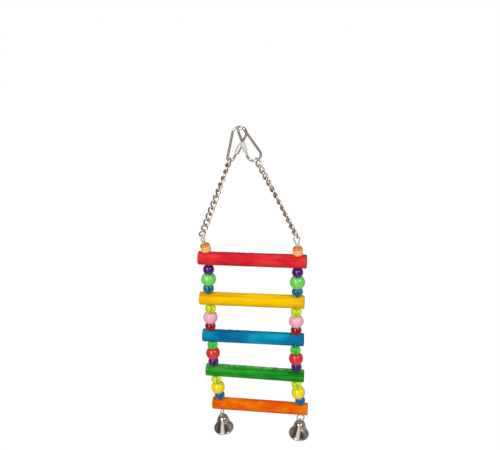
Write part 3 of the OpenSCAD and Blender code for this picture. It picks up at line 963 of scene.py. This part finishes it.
class BIRDLADDER_OT_wires(bpy.types.Operator):
    """Bend the two stiff wires: tail, eye, straight runs through the rungs and ring"""

    bl_idname = "bird_ladder.wires"
    bl_label = "Wires"

    def execute(self, context):
        looks = context.scene.ladder_wires
        material = plated_metal("zinc_plate", tuple(looks.zinc), 0.34, 0.5, bare=0.65)
        for side, side_name in SIDES:
            turn = looks.left_turn if side == LEFT else looks.right_turn
            mesh = bmesh.new()
            path, start = wire_path(looks, side, side_name, turn)
            path, radii = domed(path, looks.thickness / 2)
            radii = [r * (1 - drawn_share(looks, p)) for p, r in zip(path, radii)]
            sweep(mesh, path, lambda i, a: radii[i], 20, start=start)
            finish_piece(
                f"{side_name}_ladder_wire", mesh, material, "ladder", [f"{side_name}_wire"]
            )
        return {"FINISHED"}


def drawn_share(looks, point):
    """Share of its thickness that the wire has lost at a point, which grows from the foot of its eye."""
    eye_foot = hinge_point("ladder_swing").z - looks.eye_width
    rise = (point.z - eye_foot) / (0.4 * looks.eye_width)
    return looks.drawn / looks.thickness * max(0.0, min(1.0, rise))


TAIL_IN, NECK_IN = 0.6, 0.3  # shares of a striped bead that the wire's two strands reach down into
WIRE_BEND = 0.7 * MM  # reach of the short bends between the wire's straight runs


def wire_path(looks, side, side_name, turn):
    """Centre line of one wire from its tail to the tip of its ring."""
    foot, up = wire_entry(side_name, 0)
    eye_height = hinge_point("ladder_swing").z
    eye_top = foot + up * (eye_height - foot.z) / up.z
    across = ring_across(up, turn)
    eye_r = (looks.eye_width - looks.thickness) / 2
    strand = (looks.thickness + looks.strand_gap) / 2
    low, high = spool_reach(side_name)
    spool_top, spool_low = foot + high * up, foot + low * up
    spool = spool_top - spool_low
    far = math.hypot(looks.eye_drop, strand)
    opening = math.atan2(strand, looks.eye_drop) + math.acos(eye_r / far)
    eye = loop_points(eye_top - eye_r * up, up, across, eye_r, opening)
    meet = eye_top - (eye_r + looks.eye_drop) * up
    tail = [spool_top - TAIL_IN * spool + strand * across, meet + strand * across]
    neck = [meet - strand * across, spool_top - NECK_IN * spool - strand * across]
    runs = [foot]
    for rung in range(len(RUNGS)):
        middle, along, _, width = rung_axis(f"{RUNGS[rung]}_rung")
        normal = along.cross(Vector((0, 1, 0)))
        if normal.z < 0:
            normal = -normal
        bend = width / 2 - looks.bend_in
        if rung + 1 < len(RUNGS):
            above, direction = wire_entry(side_name, rung + 1)
            rise = ((middle - above).dot(normal) - bend) / direction.dot(normal)
            runs += [above + rise * direction, above]
    hole = rung_holes(rung)[SIDES.index((side, side_name))]
    runs.append(hole - bend * normal)
    down = -normal
    ring_r = (looks.ring_width - looks.thickness) / 2
    stem = hole + (width / 2 + looks.thickness) * down
    ring_far = ring_r + looks.thickness / 2
    side_way = -ring_across(-down, turn)
    ring = loop_points(stem + ring_far * down, down, side_way, ring_r, math.acos(ring_r / ring_far))
    tip = stem + (looks.thickness + 0.3 * MM) * (ring[-1] - stem).normalized()
    straight = eased([eye[-1]] + neck + runs + [stem, ring[0]], WIRE_BEND)
    path = tail + eye[:-1] + straight[:-1] + ring + [tip]
    return path, up.cross(across)


def spool_reach(side_name):
    """Lowest and highest point of a striped bead along its wire, measured from the wire's entry."""
    foot, up = wire_entry(side_name, 0)
    reach = [(p - foot).dot(up) for p in node_points(f"{side_name}_spool_bead")]
    return min(reach), max(reach)


class BIRDLADDER_OT_chains(bpy.types.Operator):
    """Forge the twisted links of both chains, one piece for each level"""

    bl_idname = "bird_ladder.chains"
    bl_label = "Chains"

    def execute(self, context):
        looks = context.scene.ladder_chains
        material = plated_metal("warm_nickel_chain", tuple(looks.nickel), 0.13, 0.3)
        first = side_middles("chain_1")
        last = side_middles(f"chain_{CHAIN_LEVELS}")
        for level in range(1, CHAIN_LEVELS + 1):
            mesh = bmesh.new()
            for index, (centre, (_, side_name)) in enumerate(zip(side_middles(f"chain_{level}"), SIDES)):
                up = (first[index] - last[index]).normalized()
                roll = getattr(looks, f"{side_name}_roll") + (level - 1) * getattr(looks, f"{side_name}_step")
                twisted_link(mesh, looks, aimed(centre, up) @ Matrix.Rotation(roll, 4, "Z"))
            finish_piece(
                f"twisted_links_{level}", mesh, material, f"chain_{level}", [f"chain_{level}"]
            )
        return {"FINISHED"}


def side_middles(node):
    """Middle of the left solid and of the right solid of a node that holds both."""
    return [centroid([p for p in node_points(node) if p.x * side > 0]) for side, _ in SIDES]


OVAL_FULLNESS = 0.8  # 1 is an ellipse, less has straighter sides
BUTT_JOINT = 0.9  # share of the wire's thickness where its ends meet


def twisted_link(mesh, looks, matrix):
    """One link: an oval of wire whose ends are turned against each other, with its butt joint."""
    steps, sides = 72, 16
    long_r = (looks.link_length - looks.thickness) / 2
    wide_r = (looks.link_width - looks.thickness) / 2
    wire = looks.thickness / 2
    path = []
    for i in range(steps):
        t = 2 * math.pi * (i + 0.5) / steps
        out = wide_r * math.copysign(abs(math.sin(t)) ** OVAL_FULLNESS, math.sin(t))
        turn = looks.twist / 2 * math.cos(t)
        path.append(matrix @ Vector((out * math.cos(turn), out * math.sin(turn), long_r * math.cos(t))))
    joint = steps // 4
    sweep(mesh, path, lambda i, a: wire * (BUTT_JOINT if i == joint else 1.0), sides, closed=True)


class BIRDLADDER_OT_screw_links(bpy.types.Operator):
    """Bend the two pear-shaped screw links and cut the threads at their gates"""

    bl_idname = "bird_ladder.screw_links"
    bl_label = "Screw links"

    def execute(self, context):
        looks = context.scene.ladder_screw_links
        material = plated_metal("warm_nickel_link", tuple(looks.nickel), 0.1, 0.24, 2.0)
        for side, side_name in SIDES:
            mesh = bmesh.new()
            screw_rod(mesh, looks, side, side_name)
            finish_piece(
                f"{side_name}_pear_link", mesh, material, "screw_links",
                [f"{side_name}_screw_link"],
            )
        return {"FINISHED"}


def pear_frame(looks, side):
    """Matrix of a screw link: hang point at the origin, length down -Z, gate towards +X."""
    reach = looks.link_length - 1.5 * looks.thickness
    tip = math.asin((looks.apart + looks.thickness) / 2 / reach)
    foot = Vector((side * reach * math.sin(looks.lean), 0, -reach * math.cos(looks.lean)))
    turn = looks.turn if side == LEFT else math.pi
    return (
        Matrix.Translation(foot)
        @ Matrix.Rotation(-side * looks.lean, 4, "Y")
        @ Matrix.Rotation(side * tip, 4, "X")
        @ Matrix.Translation((0, 0, reach))
        @ Matrix.Rotation(turn, 4, "Z")
    )


THREAD_STEPS = 14  # points along the rod for each turn of its thread
THREAD_PAST = 1.9 * MM  # how far the thread runs on past the sleeve
THREAD_LEAD = 0.3 * MM  # over which the thread starts at the rod's end


def screw_rod(mesh, looks, side, side_name):
    """Sweeps the rod from one face of the gate's opening round to the other."""
    rod = looks.thickness / 2
    wide_r = looks.wide / 2 - rod
    narrow_r = looks.narrow / 2 - rod
    apart = looks.link_length - looks.thickness - wide_r - narrow_r
    slant = math.asin((wide_r - narrow_r) / apart)
    up = 1 if side == LEFT else -1
    wide_z = rod - wide_r if side == LEFT else wide_r - looks.link_length + 1.5 * looks.thickness
    run = apart * math.cos(slant)
    to_world = pear_frame(looks, side)
    gate = to_world.inverted() @ node_middle(f"{side_name}_sleeve")
    top = Vector((wide_r * math.cos(slant), 0, wide_z - up * wide_r * math.sin(slant)))
    way = Vector((-math.sin(slant), 0, -up * math.cos(slant)))
    sleeve_at = (gate - top).dot(way)
    near = sleeve_at - looks.opening_off - looks.opening / 2
    far = near + looks.opening
    fine = looks.pitch / THREAD_STEPS
    thread_reach = looks.sleeve_length / 2 + THREAD_PAST - looks.opening / 2
    path = []

    def straight(first, last):
        count = max(2, round(abs(last - first) / fine))
        path.extend(top + way * (first + (last - first) * i / count) for i in range(count + 1))

    def bow(radius, z, first, last, upward, steps=56):
        for i in range(1, steps):
            a = first + (last - first) * i / steps
            path.append(Vector((radius * math.cos(a), 0, z + upward * radius * math.sin(a))))

    straight(near, 0)
    bow(wide_r, wide_z, -slant, math.pi + slant, up)
    left_top = Vector((-top.x, 0, top.z))
    left_way = Vector((-way.x, 0, way.z))
    path.extend(left_top + left_way * run * i / 24 for i in range(25))
    bow(narrow_r, wide_z - up * apart, math.pi + slant, 2 * math.pi - slant, up)
    straight(run, far)
    path = [to_world @ p for p in path]
    travelled = [0.0]
    for before, after in zip(path, path[1:]):
        travelled.append(travelled[-1] + (after - before).length)

    def radius(i, a):
        from_face = min(travelled[i], travelled[-1] - travelled[i])
        if from_face > thread_reach:
            return rod
        groove = abs(((travelled[i] / looks.pitch + a / (2 * math.pi)) % 1) * 2 - 1)
        fade = min(1.0, (thread_reach - from_face) / looks.pitch, (from_face + 0.05 * MM) / THREAD_LEAD)
        chamfer = 0.25 * MM if from_face < 0.01 * MM else 0
        return rod - looks.depth * groove * fade - chamfer

    sweep(mesh, path, radius, 32)


class BIRDLADDER_OT_sleeves(bpy.types.Operator):
    """Turn the two hexagonal gate sleeves"""

    bl_idname = "bird_ladder.sleeves"
    bl_label = "Gate sleeves"

    def execute(self, context):
        looks = context.scene.ladder_screw_links
        nickel = tuple(looks.nickel)
        materials = (
            plated_metal("warm_nickel_sleeve", nickel, 0.24, 0.36, 5.0, bare=0.75),
            # The right sleeve takes a paler, more matt copy of the same nickel: a painted highlight for the
            # bright light it mirrors.
            plated_metal("pale_nickel_sleeve", scaled(nickel, 1.12), 0.3, 0.42, 6.0, bare=0.2),
        )
        for (side, side_name), material in zip(SIDES, materials):
            axis = hinge_axis(f"{side_name}_gate")
            tilt = pear_frame(looks, side).to_3x3() @ Vector((0, 1, 0))
            y = (tilt - tilt.dot(axis) * axis).normalized()
            matrix = axes_matrix(y.cross(axis), y, axis, node_middle(f"{side_name}_sleeve"))
            mesh = bmesh.new()
            hex_sleeve(mesh, looks)
            piece = finish_piece(
                f"{side_name}_gate_sleeve", mesh, material, f"{side_name}_sleeve",
                [f"{side_name}_sleeve"], matrix,
            )
            piece.data.set_sharp_from_angle(angle=math.radians(32))
        return {"FINISHED"}


def hex_sleeve(mesh, looks):
    """Hexagonal bar with turned chamfers and a bore with softened mouths, its axis along Z."""
    half = looks.sleeve_length / 2
    flat = looks.across_flats / 2
    corner = flat / math.cos(math.pi / 6)
    chamfer = 0.45 * MM
    levels = [0, 0.15, 0.35, 0.6, 0.85, 1.0]
    outside = [(-half + chamfer * w, flat - 0.1 * MM + (corner - flat + 0.15 * MM) * w) for w in levels]
    outside += [(0, corner)] + [(-z, r) for z, r in reversed(outside)]
    bore = looks.sleeve_bore / 2
    inside = [(half, bore + 0.25 * MM), (half - 0.25 * MM, bore)]
    inside += [(-z, r) for z, r in reversed(inside)]
    around = 96
    rings = []
    for z, limit in outside:
        ring = []
        for a in turns(around):
            facet = (a + math.pi / 6) % (math.pi / 3) - math.pi / 6
            r = min(limit, flat / math.cos(facet), corner - 0.06 * MM)
            ring.append(mesh.verts.new((r * math.cos(a), r * math.sin(a), z)))
        rings.append(ring)
    rings += [level_ring(mesh, r, z, around) for z, r in inside]
    skin(mesh, rings, True)


def bell_matrix(side_name):
    """Frame of a bell: the ring's wire at the origin and the bell hanging down -Z."""
    x = hinge_axis(f"{side_name}_bell_swing")
    y = hinge_axis(f"{side_name}_clapper_swing")
    return axes_matrix(x, y, x.cross(y), hinge_point(f"{side_name}_bell_swing"))


def bell_profile(looks):
    """Closed profile of a bell's shell: dome, shoulder, flare and rolled lip, outside then inside."""
    steps = 30
    shoulder = looks.crown / 2 + 0.4 * MM
    shoulder_z = -looks.drop - looks.crown_height - 0.5 * MM
    lip = looks.lip / 2
    lip_r = looks.width / 2 - lip
    lip_z = -looks.drop - looks.height + lip

    def dome(i, inset):
        a = math.pi / 2 * i / steps
        return (
            (looks.crown / 2 - inset) * math.sin(a) ** 0.8,
            -looks.drop - inset - looks.crown_height * (1 - math.cos(a) ** 0.9),
        )

    def flare(i, inset):
        w = i / steps
        spread = (lip_r + lip / 2 - shoulder) * w**1.1
        return (
            shoulder - inset + spread - looks.waist * math.sin(math.pi * w),
            shoulder_z - inset * (1 - w) + (lip_z + lip - shoulder_z) * w,
        )

    outside = [dome(max(i, 0.15), 0) for i in range(steps + 1)]
    outside += [flare(0.93 * i, 0) for i in range(steps + 1)]
    roll = arc(lip_r, lip_z, lip, 75, -195, 26)
    roll = [(lip_r + (r - lip_r) * 0.95, z + max(0.0, z - lip_z) * 1.2) for r, z in roll]
    inside = [flare(steps - i, looks.wall) for i in range(steps + 1)]
    inside += [dome(max(steps - max(i, 0.15), 0.15), looks.wall) for i in range(steps + 1)]
    return outside + roll + inside


class BIRDLADDER_OT_bells(bpy.types.Operator):
    """Spin the two bells, with the holes that their hangers pass through"""

    bl_idname = "bird_ladder.bells"
    bl_label = "Bells"

    def execute(self, context):
        looks = context.scene.ladder_bells
        for side, side_name in SIDES:
            bright = scaled(tuple(looks.nickel), 1.08)
            material = plated_metal(f"{side_name}_bell_plate", bright, 0.06, 0.14, 3.0 + side)
            mesh = bmesh.new()
            lathe(mesh, bell_profile(looks), 96)
            matrix = bell_matrix(side_name)
            piece = finish_piece(
                f"{side_name}_bell_shell", mesh, material, f"{side_name}_bell", [f"{side_name}_bell"],
                baked=matrix,
            )
            crown = -looks.drop - looks.wall
            holes = [matrix @ Vector((0, s * looks.legs / 2, crown)) for s in (-1, 1)]
            drill(piece, holes, matrix.col[2].xyz, looks.hanger + 0.1 * MM, 2 * MM)
        return {"FINISHED"}


class BIRDLADDER_OT_hangers(bpy.types.Operator):
    """Bend the wire hangers that hold the bells on their rings"""

    bl_idname = "bird_ladder.hangers"
    bl_label = "Bell hangers"

    def execute(self, context):
        looks = context.scene.ladder_bells
        wires = context.scene.ladder_wires
        material = plated_metal("hanger_wire", tuple(looks.steel), 0.2, 0.36, 7.0)
        for _, side_name in SIDES:
            matrix = bell_matrix(side_name)
            leg = looks.legs / 2
            top = (wires.thickness + looks.hanger) / 2 + looks.slack - leg
            pivot = matrix.inverted() @ hinge_point(f"{side_name}_clapper_swing")
            low = pivot.z + leg
            loop = arc(0, top, leg, 0, 180, 20) + [(-leg, top + (low - top) * i / 8) for i in range(1, 8)]
            loop += arc(0, low, leg, 180, 360, 20) + [(leg, low + (top - low) * i / 8) for i in range(1, 8)]
            mesh = bmesh.new()
            sweep(mesh, [Vector((0, y, z)) for y, z in loop], looks.hanger / 2, 20, closed=True)
            finish_piece(
                f"{side_name}_bell_hanger", mesh, material, f"{side_name}_bell", [f"{side_name}_hanger"],
                baked=matrix,
            )
        return {"FINISHED"}


class BIRDLADDER_OT_clappers(bpy.types.Operator):
    """Make the clappers: an eye, a stem and a ball"""

    bl_idname = "bird_ladder.clappers"
    bl_label = "Clappers"

    def execute(self, context):
        looks = context.scene.ladder_bells
        material = plated_metal("clapper_steel", tuple(looks.steel), 0.16, 0.3, 9.0)
        for _, side_name in SIDES:
            pivot = hinge_point(f"{side_name}_clapper_swing")
            y = hinge_axis(f"{side_name}_clapper_swing")
            up = Vector((0, 0, 1))
            up = (up - up.dot(y) * y).normalized()
            matrix = axes_matrix(y.cross(up), y, up, pivot)
            lowest = min((p - pivot).dot(up) for p in node_points(f"{side_name}_clapper"))
            ball = looks.ball / 2
            wire = looks.clapper / 2
            eye = (looks.hanger + looks.clapper) / 2 + looks.slack
            mesh = bmesh.new()
            ring = [Vector((eye * math.cos(a), 0, eye * math.sin(a))) for a in turns(40)]
            sweep(mesh, ring, wire, 16, closed=True)
            reach = math.degrees(math.acos(wire / ball))
            outline = arc(0, lowest + ball, ball, -89.5, reach, 28) + [(wire, -eye - 2 * wire), (wire, -eye)]
            lathe(mesh, outline, 32, closed=False)
            finish_piece(
                f"{side_name}_bell_clapper", mesh, material, f"{side_name}_clapper",
                [f"{side_name}_clapper"], baked=matrix,
            )
        return {"FINISHED"}


class BIRDLADDER_OT_stage(bpy.types.Operator):
    """Set up the camera, the softboxes, the fill light and the pale floor"""

    bl_idname = "bird_ladder.stage"
    bl_label = "Stage"

    def execute(self, context):
        looks = context.scene.ladder_stage
        context.scene.view_settings.view_transform = "Standard"
        set_camera(context.scene, looks)
        set_sky(context.scene, looks)
        subject = Vector((0, 0, (CAD_BOX[0][2] + CAD_BOX[1][2]) / 2))
        for _, side_name in SIDES:
            softbox(side_name, subject, looks)
        # Painted reflections for the metal and beads: glowing walls that only gloss sees.
        gloss_walls(looks, subject)
        mesh = bmesh.new()
        bmesh.ops.create_grid(mesh, x_segments=24, y_segments=24, size=6)
        for v in mesh.verts:
            v.co.z = -looks.floor
        floor = mesh_object("pale_floor", mesh)
        floor.data.materials.append(pale_paper("floor_paper", tuple(looks.paper)))
        return {"FINISHED"}


# Painted reflections, glowing tones that only gloss sees, of the walls and of the cloth below them: share of a
# turn from the left of the camera, colour.
PAINTED_REFLECTION_TONES = (
    (0.0, (0.11, 0.07, 0.065)),
    (0.08, (0.055, 0.04, 0.037)),
    (0.125, (0.07, 0.055, 0.05)),
    (0.15, (0.85, 0.81, 0.76)),
    (0.235, (0.85, 0.82, 0.78)),
    (0.28, (0.08, 0.07, 0.062)),
    (0.35, (0.05, 0.043, 0.038)),
    (0.43, (0.2, 0.175, 0.155)),
    (0.5, (0.33, 0.3, 0.27)),
    (0.58, (0.3, 0.27, 0.245)),
    (0.66, (0.14, 0.12, 0.11)),
    (0.75, (0.2, 0.175, 0.165)),
    (0.84, (0.32, 0.28, 0.265)),
    (0.93, (0.2, 0.155, 0.145)),
)
PAINTED_LOW_REFLECTION_TONES = (
    (0.0, (0.07, 0.048, 0.042)),
    (0.12, (0.08, 0.06, 0.052)),
    (0.16, (0.2, 0.17, 0.15)),
    (0.2, (1.0, 0.97, 0.92)),
    (0.35, (0.95, 0.91, 0.85)),
    (0.42, (0.4, 0.36, 0.31)),
    (0.5, (0.2, 0.17, 0.145)),
    (0.63, (0.12, 0.1, 0.085)),
    (0.75, (0.2, 0.175, 0.155)),
    (0.88, (0.1, 0.075, 0.065)),
)


def gloss_walls(looks, subject):
    """Round room of glowing dark and pale panels that only gloss sees: painted reflections, with painted shade
    and painted highlights, for bright metal to mirror.
    """
    mesh = bmesh.new()
    outline = []
    for a in (math.radians(-84 + 4 * i) for i in range(44)):
        reach = looks.walls if a > 0 else looks.cloth_drop
        outline.append((looks.walls * math.cos(a), reach * math.sin(a)))
    lathe(mesh, outline, 96, closed=False, caps=False)
    walls = mesh_object("gloss_walls", mesh)
    p = Paint("wall_panels")
    turn = p.fill(p.add("ShaderNodeTexGradient", gradient_type="RADIAL"), Vector=p.place)["Fac"]
    way = p.fill(p.add("ShaderNodeVectorMath", operation="NORMALIZE"), Vector=p.place)
    rise = p.split(way[0])["Z"]
    tone = p.mix(p.remap(rise, -0.42, -0.52), p.ramp(turn, PAINTED_REFLECTION_TONES), p.ramp(turn, PAINTED_LOW_REFLECTION_TONES))
    tone = p.mix(p.remap(rise, -0.6, -0.74), tone, scaled(tuple(looks.cloth), 0.85))
    tone = p.mix(p.remap(rise, 0.8, 0.97), tone, tuple(looks.cloth))
    # The panels glow though they are no lamp and light nothing: painted reflections, with dark bands of
    # painted shade and pale bands of painted highlight.
    p.show(p.fill(p.add("ShaderNodeEmission"), Color=tone)[0])
    p.material.cycles.emission_sampling = "NONE"
    walls.data.materials.append(p.material)
    walls.matrix_world = Matrix.Translation(subject) @ Matrix.Rotation(looks.yaw, 4, "Z")
    walls.visible_camera = walls.visible_diffuse = False
    walls.visible_transmission = walls.visible_shadow = False


def looking(yaw, pitch):
    """Direction of sight for a turn about the vertical and an angle down."""
    return Vector((-math.sin(yaw) * math.cos(pitch), math.cos(yaw) * math.cos(pitch), -math.sin(pitch)))


def set_camera(scene, looks):
    sight = looking(looks.yaw, looks.pitch)
    level = Vector((math.cos(looks.yaw), math.sin(looks.yaw), 0))
    upright = level.cross(sight)
    c, s = math.cos(looks.roll), math.sin(looks.roll)
    data = bpy.data.cameras.new("photo_camera")
    data.sensor_width = 36
    data.sensor_fit = "HORIZONTAL"
    data.lens = looks.lens
    data.clip_start = 0.01
    camera = linked("photo_camera", data)
    camera.matrix_world = axes_matrix(
        c * level + s * upright, c * upright - s * level, -sight, Vector(looks.place)
    )
    scene.camera = camera


# Softboxes: degrees round and above the camera's line of sight, width and height in metres.
SOFTBOXES = {"left": (-36, 11, 0.32, 0.62), "right": (46, 15, 0.24, 0.4)}
SOFTBOX_AWAY = 0.9


def softbox(side_name, subject, looks):
    """Rectangular soft light beside the camera, aimed at the middle of the object."""
    turn, rise, width, height = SOFTBOXES[side_name]
    sight = looking(looks.yaw + math.radians(turn), looks.pitch + math.radians(rise))
    data = bpy.data.lights.new(f"{side_name}_softbox", "AREA")
    data.shape = "RECTANGLE"
    data.size, data.size_y = width, height
    data.energy = getattr(looks, f"{side_name}_light")
    light = linked(f"{side_name}_softbox", data)
    light.matrix_world = aimed(subject - SOFTBOX_AWAY * sight, -sight)


def set_sky(scene, looks):
    """Even fill light that the rays for a white background see as white."""
    scene.world = bpy.data.worlds.new("studio")
    sky = Shading(scene.world)
    strength = sky.remap(sky.white_rays(), 0, 1, looks.sky, 1)
    sky.fill(sky.nodes["Background"], Color=(1, 1, 1), Strength=strength)


OPERATORS = (
    BIRDLADDER_OT_stage,
    BIRDLADDER_OT_rungs,
    BIRDLADDER_OT_glossy_beads,
    BIRDLADDER_OT_striped_beads,
    BIRDLADDER_OT_wires,
    BIRDLADDER_OT_chains,
    BIRDLADDER_OT_screw_links,
    BIRDLADDER_OT_sleeves,
    BIRDLADDER_OT_bells,
    BIRDLADDER_OT_hangers,
    BIRDLADDER_OT_clappers,
)


class BIRDLADDER_PT_panel(bpy.types.Panel):
    """Lists the steps that build the bird ladder"""

    bl_idname = "BIRDLADDER_PT_panel"
    bl_label = "Bird Ladder"
    bl_space_type = "VIEW_3D"
    bl_region_type = "UI"
    bl_category = "Bird Ladder"

    def draw(self, context):
        for operator in OPERATORS:
            self.layout.operator(operator.bl_idname)


def register():
    for group in GROUPS.values():
        bpy.utils.register_class(group)
    for operator in (*OPERATORS, BIRDLADDER_PT_panel):
        bpy.utils.register_class(operator)
    for name, group in GROUPS.items():
        setattr(bpy.types.Scene, name, PointerProperty(type=group))


def unregister():
    for name in GROUPS:
        delattr(bpy.types.Scene, name)
    for operator in (BIRDLADDER_PT_panel, *reversed(OPERATORS)):
        bpy.utils.unregister_class(operator)
    for group in reversed(list(GROUPS.values())):
        bpy.utils.unregister_class(group)


def main():
    register()
    for operator in OPERATORS:
        step = operator.bl_idname.split(".")[1]
        getattr(bpy.ops.bird_ladder, step)()


if __name__ == "__main__":
    main()
